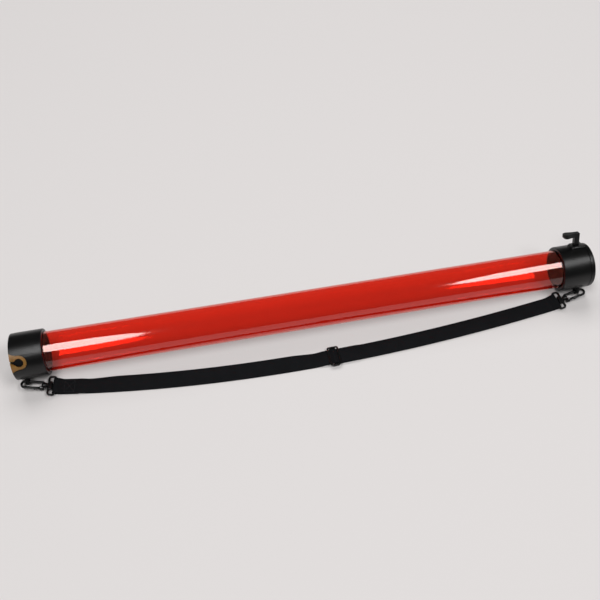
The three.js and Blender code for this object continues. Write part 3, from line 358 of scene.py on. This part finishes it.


# %% [markdown]
# ## Moulded black plastic
# The collars, the lever and the hooks are injection moulded. Their skin is satin, with a
# fine grain from the mould and slightly lighter, rougher patches where hands rub it.
# A bevelled mesh could round the edges, but these meshes stay as they are. So the Bevel node
# bends the light on each edge, as the mould's small radii do.

# %% Moulded black plastic
EDGE_RADIUS = 0.5 * MM
RUBBED_PATCH = 35 * MM
MOULD_GRAIN = 0.45 * MM
PATCH_LIGHTER = 6
PATCH_ROUGHER = 0.14
GRAIN_ROUGHER = 0.06


def moulded_black(name, shade, roughness, gloss, grain):
    """Shade is the darkest grey, from 0 to 255, and grain is the depth of the mould's texture."""
    finish = Finish(name)
    place = finish.place()
    patches = finish.mottle(place, RUBBED_PATCH, detail=4)
    fine = finish.mottle(place, MOULD_GRAIN, detail=2)
    dark, light = (colour(grey, grey, grey) for grey in (shade, shade + PATCH_LIGHTER))
    rounded = finish.node("ShaderNodeBevel", {"samples": 4}, {"Radius": EDGE_RADIUS})
    return finish.surface(finish.node("ShaderNodeBsdfPrincipled", {}, {
        "Base Color": finish.blend(patches, dark, light),
        "Roughness": patches * PATCH_ROUGHER + fine * GRAIN_ROUGHER + roughness,
        "Specular IOR Level": gloss,
        "Normal": finish.bump(fine, grain, Normal=rounded),
    }))


collar_black = moulded_black("collar_black", shade=8, roughness=0.23, gloss=0.34, grain=0.02 * MM)
hook_black = moulded_black("hook_black", shade=6, roughness=0.26, gloss=0.3, grain=0.012 * MM)
slider_black = moulded_black("slider_black", shade=8, roughness=0.28, gloss=0.3, grain=0.015 * MM)
# The catch sleeve's near-black fills the keyholes, and is painted shade for the dark inside of the collar.
keyhole_shade_black = moulded_black("keyhole_shade_black", shade=4, roughness=0.6, gloss=0.2, grain=0.02 * MM)


def dress(material, *names):
    for name in names:
        slots = frame["nodes"][name].data.materials
        slots.clear()
        slots.append(material)
    print(material.name, "is on", *names)


dress(collar_black, "pickup_collar", "release_collar", "release_end_ring", "release_lever", "stop_button")
dress(hook_black, "pickup_hook", "pickup_gate", "pickup_eye", "release_hook", "release_gate", "release_eye")
dress(slider_black, "slider")
dress(keyhole_shade_black, "catch_sleeve")


# %% [markdown]
# ## Amber urethane
# The catch ring is cast from springy amber urethane. One flat colour would look like paint.
# So a subsurface share lets a little light in, and cloudy noise darkens the colour in patches.
# A finer noise gives the faint grain that casting leaves.

# %% Amber urethane
AMBER_DARK = colour(104, 72, 28)
AMBER_LIGHT = colour(168, 122, 58)
AMBER_CLOUD = 9 * MM
FLOW_GRAIN = 1.2 * MM
FLOW_DEPTH = 0.04 * MM
LIGHT_TAKEN_IN = 0.2
LIGHT_REACH = 3 * MM
AMBER_ROUGHNESS = 0.3
AMBER_ROUGHER = 0.2

amber = Finish("amber_urethane")
amber_place = amber.place()
amber_clouds = amber.mottle(amber_place, AMBER_CLOUD, detail=5)
amber_grain = amber.mottle(amber_place, FLOW_GRAIN, detail=3)
amber_skin = amber.node("ShaderNodeBsdfPrincipled", {}, {
    "Base Color": amber.blend(amber_clouds, AMBER_DARK, AMBER_LIGHT),
    "Roughness": amber_grain * AMBER_ROUGHER + AMBER_ROUGHNESS,
    "Subsurface Weight": LIGHT_TAKEN_IN,
    "Subsurface Scale": LIGHT_REACH,
    "Normal": amber.bump(amber_grain, FLOW_DEPTH),
})
dress(amber.surface(amber_skin), "catch_ring")


# %% [markdown]
# ## Steel
# Pins, springs and the screw are bare steel, and drawing or turning leaves fine lines on it.
# A picture of brushed steel could be wrapped round them. Noise squeezed along X gives such
# lines without one, and they vary the shine as well as the colour.

# %% Steel
STEEL_DARK = colour(150, 150, 152)
STEEL_LIGHT = colour(205, 205, 207)
STEEL_GRAIN = 0.8 * MM
SQUEEZED = (6, 1, 1)
STEEL_ROUGHNESS = 0.22
STEEL_ROUGHER = 0.18

steel = Finish("drawn_steel")
steel_lines = steel.mottle(steel.place(scale=SQUEEZED), STEEL_GRAIN, detail=4)
drawn_steel = steel.surface(steel.node("ShaderNodeBsdfPrincipled", {}, {
    "Base Color": steel.blend(steel_lines, STEEL_DARK, STEEL_LIGHT),
    "Metallic": 1.0,
    "Roughness": steel_lines * STEEL_ROUGHER + STEEL_ROUGHNESS,
}))
dress(
    drawn_steel, "stop_screw",
    "pickup_gate_pin", "pickup_gate_spring", "release_gate_pin", "release_gate_spring",
)


# %% [markdown]
# ## How a new piece joins the model
# A remodelled piece is made like the imported ones: its place is in its mesh, and its object
# stays at the origin. It rides on the body that carries the tube and the strap, and gets its
# finish as its one material.

# %% A new piece from a mesh
def new_piece(name, mesh, material):
    data = bpy.data.meshes.new(name)
    mesh.to_mesh(data)
    mesh.free()
    data.materials.append(material)
    piece = bpy.data.objects.new(name, data)
    bpy.context.scene.collection.objects.link(piece)
    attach(piece, "tube_and_strap")
    print(name, "has", len(data.polygons), "faces")
    return piece


# %% [markdown]
# ## The clear red tube
# The real tube is extruded polycarbonate with a wall of 1.5 mm. Clear plastic is a real
# refracting wall, so the mesh needs both its faces, and they must be truly round. A cylinder
# with a Solidify modifier would do, but a profile spun round the axis gives the wall and its
# rims in one step. A cut close to each rim keeps the rim's rounded shading off the long wall.

# %% A tube spun from its profile
TUBE_RADIUS = 36 * MM
TUBE_WALL = 1.5 * MM
TUBE_EDGE = 0.3 * MM
RIM_CUT = 4 * TUBE_EDGE
TUBE_STEPS = 192
RIM_ANGLE = math.radians(60)

tube_low, tube_high = (Vector(corner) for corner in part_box("tube"))
axis_y = (tube_low.y + tube_high.y) / 2
axis_z = (tube_low.z + tube_high.z) / 2


def spun_tube(x_low, x_high):
    mesh = bmesh.new()
    bore = TUBE_RADIUS - TUBE_WALL
    corners = [(x_low, TUBE_RADIUS), (x_high, TUBE_RADIUS), (x_high, bore), (x_low, bore)]
    points = [mesh.verts.new((x, axis_y, axis_z + height)) for x, height in corners]
    rim = [mesh.edges.new((points[i], points[i - 1])) for i in range(len(points))]
    bmesh.ops.spin(
        mesh, geom=points + rim, cent=(0, axis_y, axis_z), axis=(1, 0, 0),
        angle=math.tau, steps=TUBE_STEPS, use_merge=True,
    )
    bmesh.ops.remove_doubles(mesh, verts=mesh.verts, dist=MERGE_DISTANCE)
    bmesh.ops.recalc_face_normals(mesh, faces=mesh.faces)
    bmesh.ops.bevel(
        mesh, geom=[item for item in mesh.edges if item.calc_face_angle(0) > RIM_ANGLE],
        offset=TUBE_EDGE, offset_type="OFFSET",
        affect="EDGES", segments=2, profile=0.5, material=-1,
    )
    for cut in (x_low + RIM_CUT, x_high - RIM_CUT):
        bmesh.ops.bisect_plane(
            mesh, geom=mesh.verts[:] + mesh.edges[:] + mesh.faces[:],
            plane_co=(cut, 0, 0), plane_no=(1, 0, 0),
        )
    for face in mesh.faces:
        face.smooth = True
    return mesh


tube_mesh = spun_tube(tube_low.x, tube_high.x)
print("the tube is", round(tube_high.x - tube_low.x, 4), "m long")


# %% [markdown]
# ## Clear red polycarbonate
# Transmission makes the wall refract, and the tint colours light at each face that it crosses.
# Faint lines along the tube come from extrusion, and scuffs dull its polish a little.
# Refracted light reaches the floor in a dark, noisy patch, because few paths find the lamps.
# So shadow rays, and rays that light other surfaces, pass straight through a pale wall instead.

# %% Clear red polycarbonate
TINT = (0.96, 0.15, 0.085, 1)
THROUGH_TINT = (0.84, 0.82, 0.82, 1)
POLYCARBONATE_IOR = 1.585
STREAK_WIDTH = 2.5 * MM
STREAK_DEPTH = 0.001 * MM
DRAWN_OUT = (0.02, 1, 1)
SCUFF_SIZE = 14 * MM
POLISHED_ROUGHNESS = 0.04
SCUFFS_ROUGHER = 0.03

clear_red = Finish("clear_red_polycarbonate")
streaks = clear_red.mottle(clear_red.place(scale=DRAWN_OUT), STREAK_WIDTH, detail=3)
scuffs = clear_red.mottle(clear_red.place(), SCUFF_SIZE, detail=5)
clear_wall = clear_red.node("ShaderNodeBsdfPrincipled", {}, {
    "Base Color": TINT,
    "Roughness": scuffs * SCUFFS_ROUGHER + POLISHED_ROUGHNESS,
    "IOR": POLYCARBONATE_IOR,
    "Transmission Weight": 1.0,
    "Normal": clear_red.bump(streaks, STREAK_DEPTH),
})
pale_wall = clear_red.node("ShaderNodeBsdfTransparent", {}, {"Color": THROUGH_TINT})
for rays in ("Is Diffuse Ray", "Is Shadow Ray"):
    straight = clear_red.node("ShaderNodeLightPath", output=rays)
    clear_wall = clear_red.node("ShaderNodeMixShader", {}, {0: straight, 1: clear_wall, 2: pale_wall})

tube = new_piece("clear_tube", tube_mesh, clear_red.surface(clear_wall))
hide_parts("tube")


# %% [markdown]
# ## The stop spring
# The spring presses the stop button into the bore, and shortens as the lever is pulled.
# A imported piece keeps its shape, so a copy of the coil takes its place.

# %% A copy of the coil
PULL_TRAVEL = 7 * MM
pull = next(joint for joint in frame["joints"] if joint["name"] == "release_pull")
pull_axis = Vector(pull["axis"]).normalized()

coil = bmesh.new()
coil.from_mesh(frame["nodes"]["stop_spring"].data)
bmesh.ops.remove_doubles(coil, verts=coil.verts, dist=MERGE_DISTANCE)
along_pull = sorted((vert.co.copy() for vert in coil.verts), key=pull_axis.dot)
pushed_end, held_end = along_pull[0], along_pull[-1]
coil_length = (held_end - pushed_end).dot(pull_axis)
stop_coil = smoothed(new_piece("stop_coil", coil, drawn_steel))
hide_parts("stop_spring")
1 - PULL_TRAVEL / coil_length
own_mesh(stop_coil)
print("the coil is", round(coil_length / MM, 1), "mm long at rest")


# %% [markdown]
# ## The strap
# The strap is one length of woven polyester webbing. Webbing bends only over its flat side,
# so its section can be drawn once and extruded from place to place along the strap's path.
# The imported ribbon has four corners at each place, and walking it from its sewn end gives
# that path, so the strap stays where the hooks and the slider hold it.

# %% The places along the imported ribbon
WEBBING_THICKNESS = 1.3 * MM
WEBBING_WIDTH = 30 * MM
CORNERS = 4
INNER_CORNER_EDGES = 6


def ribbon_places(node):
    """The middle and the direction across the webbing at each place, from the sewn end on."""
    mesh = bmesh.new()
    mesh.from_mesh(node.data)
    bmesh.ops.remove_doubles(mesh, verts=mesh.verts, dist=MERGE_DISTANCE)
    # A corner inside the ribbon joins six edges, and a corner of its ends fewer.
    ends = [vert for vert in mesh.verts if len(vert.link_edges) < INNER_CORNER_EDGES]
    ring = sorted(ends, key=lambda vert: vert.co.x)[:CORNERS]
    seen = set(ring)
    places = []
    across = Vector((0, 1, 0))
    while ring:
        first, *others = ring
        partner, *far_side = sorted(others, key=lambda vert: (vert.co - first.co).length)
        near_middle = (first.co + partner.co) / 2
        far_middle = (far_side[0].co + far_side[1].co) / 2
        step = (far_middle - near_middle).normalized()
        across = step if step.dot(across) > 0 else -step
        places.append(((near_middle + far_middle) / 2, across.copy()))
        linked = {edge.other_vert(vert) for vert in ring for edge in vert.link_edges}
        ring = list(linked - seen)
        seen.update(ring)
    mesh.free()
    return places


packed_places = ribbon_places(frame["nodes"]["strap"])
print("places along the strap:", len(packed_places))


# %% [markdown]
# ## A smooth path
# Straight steps from place to place would show as kinks where the webbing folds round an eye.
# A curve through every place rounds them. Its knots are spaced by the square root of each
# step, because with even knots a curve loops where short and long steps meet.

# %% A smooth path through the places
CUTS = 3
SHORTEST_STEP = 1e-6


def between(before, start, end, after, share):
    """A point on the curve that passes through four places, between the middle two."""
    knots = [0.0]
    for one, other in ((before, start), (start, end), (end, after)):
        knots.append(knots[-1] + max((other - one).length, SHORTEST_STEP) ** 0.5)
    here = knots[1] + (knots[2] - knots[1]) * share
    row = [before, start, end, after]
    # Each round blends neighbours by their knots, and after three rounds one point is left.
    for span in (1, 2, 3):
        row = [
            row[i].lerp(row[i + 1], (here - knots[i]) / (knots[i + span] - knots[i]))
            for i in range(len(row) - 1)
        ]
    return row[0]


def refined(places):
    middles = [middle for middle, across in places]
    path = []
    for i in range(len(places) - 1):
        around = [middles[min(max(k, 0), len(places) - 1)] for k in range(i - 1, i + 3)]
        if i == 0:
            around[0] = 2 * middles[0] - middles[1]
        if i == len(places) - 2:
            around[3] = 2 * middles[-1] - middles[-2]
        for cut in range(CUTS):
            share = cut / CUTS
            across = places[i][1].lerp(places[i + 1][1], share).normalized()
            path.append((between(*around, share), across))
    return path + [places[-1]]


smooth_path = refined(packed_places)
print("places on the smooth path:", len(smooth_path))


# %% [markdown]
# ## The lean of the long curve
# Webbing doesn't bend edgewise. On the ground the strap still draws a long curve, and it can
# only do so by leaning: its far edge lifts a little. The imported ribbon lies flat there, so the
# path is turned about its near edge, and eases in and out of the lean at both ends.

# %% The lean of the long curve
LEAN = math.radians(13)
LEAN_LOW = -415 * MM
LEAN_HIGH = 0
LEAN_EASE = 60 * MM


def leaning(path):
    half_width = WEBBING_WIDTH / 2
    leant = []
    for middle, across in path:
        inside = min(middle.x - LEAN_LOW, LEAN_HIGH - middle.x) / LEAN_EASE
        ease = min(max(inside, 0), 1)
        angle = LEAN * ease * ease * (3 - 2 * ease)
        near_edge = middle - across * half_width
        tilted = (across * math.cos(angle) + Vector((0, 0, math.sin(angle)))).normalized()
        leant.append((near_edge + tilted * half_width, tilted))
    return leant


strap_path = leaning(smooth_path)
strap_lengths = [0.0]
for (one, _), (other, _) in zip(strap_path, strap_path[1:]):
    strap_lengths.append(strap_lengths[-1] + (other - one).length)
print("webbing from end to end:", round(strap_lengths[-1], 3), "m")


# %% [markdown]
# ## The webbing itself
# The section is a thin bar with round selvedges: a circle pulled apart into two halves.
# It is extruded edge by edge, so each step can follow the path's own turn. A curve with this
# section as its bevel would be shorter to write, but it twists where the webbing folds over.
# The distance along and across is kept on each corner, and becomes the UV map in metres.

# %% Webbing extruded along the path
SELVEDGE_STEPS = 12


def path_matrix(i):
    """Moves a section drawn with X across and Z along the webbing to a place on the path."""
    middle, across = strap_path[i]
    before = strap_path[max(i - 1, 0)][0]
    after = strap_path[min(i + 1, len(strap_path) - 1)][0]
    along = (after - before).normalized()
    through = along.cross(across).normalized()
    side = through.cross(along)
    turn = Matrix((side, through, along)).transposed().to_4x4()
    return Matrix.Translation(middle) @ turn


def webbing():
    mesh = bmesh.new()
    half_step = Matrix.Rotation(math.pi / SELVEDGE_STEPS, 4, "Z")
    radius = WEBBING_THICKNESS / 2
    bmesh.ops.create_circle(mesh, segments=SELVEDGE_STEPS, radius=radius, matrix=half_step)
    for side in (-1, 1):
        half = [vert for vert in mesh.verts if vert.co.x * side > 0]
        bmesh.ops.translate(mesh, verts=half, vec=(side * (WEBBING_WIDTH - WEBBING_THICKNESS) / 2, 0, 0))
    across_layer = mesh.verts.layers.float.new("across")
    along_layer = mesh.verts.layers.float.new("along")
    for vert in mesh.verts:
        vert[across_layer] = vert.co.x
    bmesh.ops.transform(mesh, matrix=path_matrix(0), verts=mesh.verts)
    rim = list(mesh.edges)
    start = list(rim)
    for i in range(1, len(strap_path)):
        grown = bmesh.ops.extrude_edge_only(mesh, edges=rim)["geom"]
        verts = [item for item in grown if isinstance(item, bmesh.types.BMVert)]
        rim = [item for item in grown if isinstance(item, bmesh.types.BMEdge)
               and all(vert in verts for vert in item.verts)]
        move = path_matrix(i) @ path_matrix(i - 1).inverted()
        bmesh.ops.transform(mesh, matrix=move, verts=verts)
        for vert in verts:
            vert[along_layer] = strap_lengths[i]
    for end in (start, rim):
        bmesh.ops.contextual_create(mesh, geom=end)
    bmesh.ops.recalc_face_normals(mesh, faces=mesh.faces)
    uv_layer = mesh.loops.layers.uv.new("webbing")
    for face in mesh.faces:
        face.smooth = True
        for loop in face.loops:
            loop[uv_layer].uv = (loop.vert[across_layer], loop.vert[along_layer])
    return mesh


webbing_mesh = webbing()
print("webbing places:", len(strap_path), "with", SELVEDGE_STEPS, "corners each")


# %% [markdown]
# ## Woven polyester
# Webbing of this kind is a fine twill: hard, thin ribs of warp run along the strap, and the
# weft shows between them as a small step. Two sine waves on the strap's own UV map, counted
# in metres, draw the yarns at their real pitch. They feed the bump and a painted shade, which
# darkens the colour in the weave's valleys and lightens it on the crests. Lint varies it at random.

# %% Webbing finish
RIB_PITCH = 1.25 * MM
WEFT_PITCH = 1.1 * MM
TWILL_SLOPE = 0.5
YARN_DEPTH = 0.12 * MM
LINT_SIZE = 18 * MM
YARN_DARK = colour(9, 10, 11)
YARN_LIGHT = colour(24, 25, 28)
WARP_SHARE = 0.5
WEFT_SHARE = 0.5
WEAVE_SHADE_SHARE = 0.25
LINT_TONE = 0.5
LEAST_TONE = 0.25
WEBBING_ROUGHNESS = 0.78
YARN_SMOOTHER = 0.08
WEBBING_GLOSS = 0.12

polyester = Finish("woven_polyester")
strap_map = polyester.node("ShaderNodeUVMap", {"uv_map": "webbing"})
across, along = (
    polyester.node("ShaderNodeSeparateXYZ", {}, {0: strap_map}, output=part) for part in ("X", "Y")
)
warp = (across * (math.tau / RIB_PITCH)).wave()
weft = ((along + across * TWILL_SLOPE) * (math.tau / WEFT_PITCH)).wave()
yarn = warp * WARP_SHARE + weft * warp * WEFT_SHARE
lint = polyester.mottle(polyester.place(), LINT_SIZE, detail=5)
# The yarn term is painted shade and highlight: darker in the weave's valleys, lighter on its crests.
weave_shade_and_lint = yarn * WEAVE_SHADE_SHARE + lint * LINT_TONE + LEAST_TONE
webbing_skin = polyester.node("ShaderNodeBsdfPrincipled", {}, {
    "Base Color": polyester.blend(weave_shade_and_lint, YARN_DARK, YARN_LIGHT),
    "Roughness": WEBBING_ROUGHNESS - yarn * YARN_SMOOTHER,
    "Specular IOR Level": WEBBING_GLOSS,
    "Normal": polyester.bump(yarn, YARN_DEPTH),
})
strap = new_piece("webbing_strap", webbing_mesh, polyester.surface(webbing_skin))
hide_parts("strap")


# %% [markdown]
# ## The stitched box
# The end of the strap is folded round the left eye and sewn down with a box and a cross.
# A bump could draw the seam, but thread stands proud of the webbing and catches the light.
# So each stitch is a short, round-ended piece of thread, sunk half way into the webbing.

# %% Stitches
STITCH_PITCH = 2.9 * MM
STITCH_SHARE = 0.8
STITCH_STEPS = 8
STITCH_RINGS = 6
THREAD_RADIUS = 0.34 * MM
BOX_HALF_WIDTH = 11 * MM
BOX_HALF_LENGTH = 9 * MM
BOX_MIDDLE = Vector((-448.8, -23.2, 2.4)) * MM


def stitched_box(place):
    mesh = bmesh.new()
    corners = [
        Vector((side * BOX_HALF_WIDTH, WEBBING_THICKNESS / 2, end * BOX_HALF_LENGTH))
        for side, end in ((-1, -1), (1, -1), (1, 1), (-1, 1))
    ]
    lines = [(corners[i], corners[i - 1]) for i in range(len(corners))]
    lines += [(corners[0], corners[2]), (corners[1], corners[3])]
    size = Matrix.Diagonal((THREAD_RADIUS, THREAD_RADIUS, STITCH_PITCH * STITCH_SHARE / 2, 1))
    for start, end in lines:
        run = end - start
        count = round(run.length / STITCH_PITCH)
        turn = run.to_track_quat("Z", "Y").to_matrix().to_4x4()
        for i in range(count):
            middle = Matrix.Translation(start + run * ((i + 0.5) / count))
            bmesh.ops.create_uvsphere(
                mesh, u_segments=STITCH_STEPS, v_segments=STITCH_RINGS, radius=1,
                matrix=place @ middle @ turn @ size,
            )
    for face in mesh.faces:
        face.smooth = True
    return mesh


box_step = min(range(len(strap_path)), key=lambda i: (strap_path[i][0] - BOX_MIDDLE).length)
stitches = stitched_box(path_matrix(box_step))
print("the box is sewn", round(strap_lengths[box_step] / MM), "mm from the strap's end")


# %% [markdown]
# ## Black thread
# The thread is black too, but lighter and smoother than the webbing, so the seam can be made
# out. Its twist could be modelled on each stitch. It is far too fine to see, so small noise
# in its colour and shine stands in for it.

# %% Black thread on the stitches
THREAD_DARK = colour(14, 14, 16)
THREAD_LIGHT = colour(40, 41, 45)
THREAD_TWIST = 0.5 * MM
THREAD_ROUGHNESS = 0.5
THREAD_ROUGHER = 0.1
THREAD_GLOSS = 0.3

thread = Finish("black_thread")
twist = thread.mottle(thread.place(), THREAD_TWIST, detail=1)
thread_skin = thread.node("ShaderNodeBsdfPrincipled", {}, {
    "Base Color": thread.blend(twist, THREAD_DARK, THREAD_LIGHT),
    "Roughness": twist * THREAD_ROUGHER + THREAD_ROUGHNESS,
    "Specular IOR Level": THREAD_GLOSS,
})
new_piece("box_stitches", stitches, thread.surface(thread_skin))
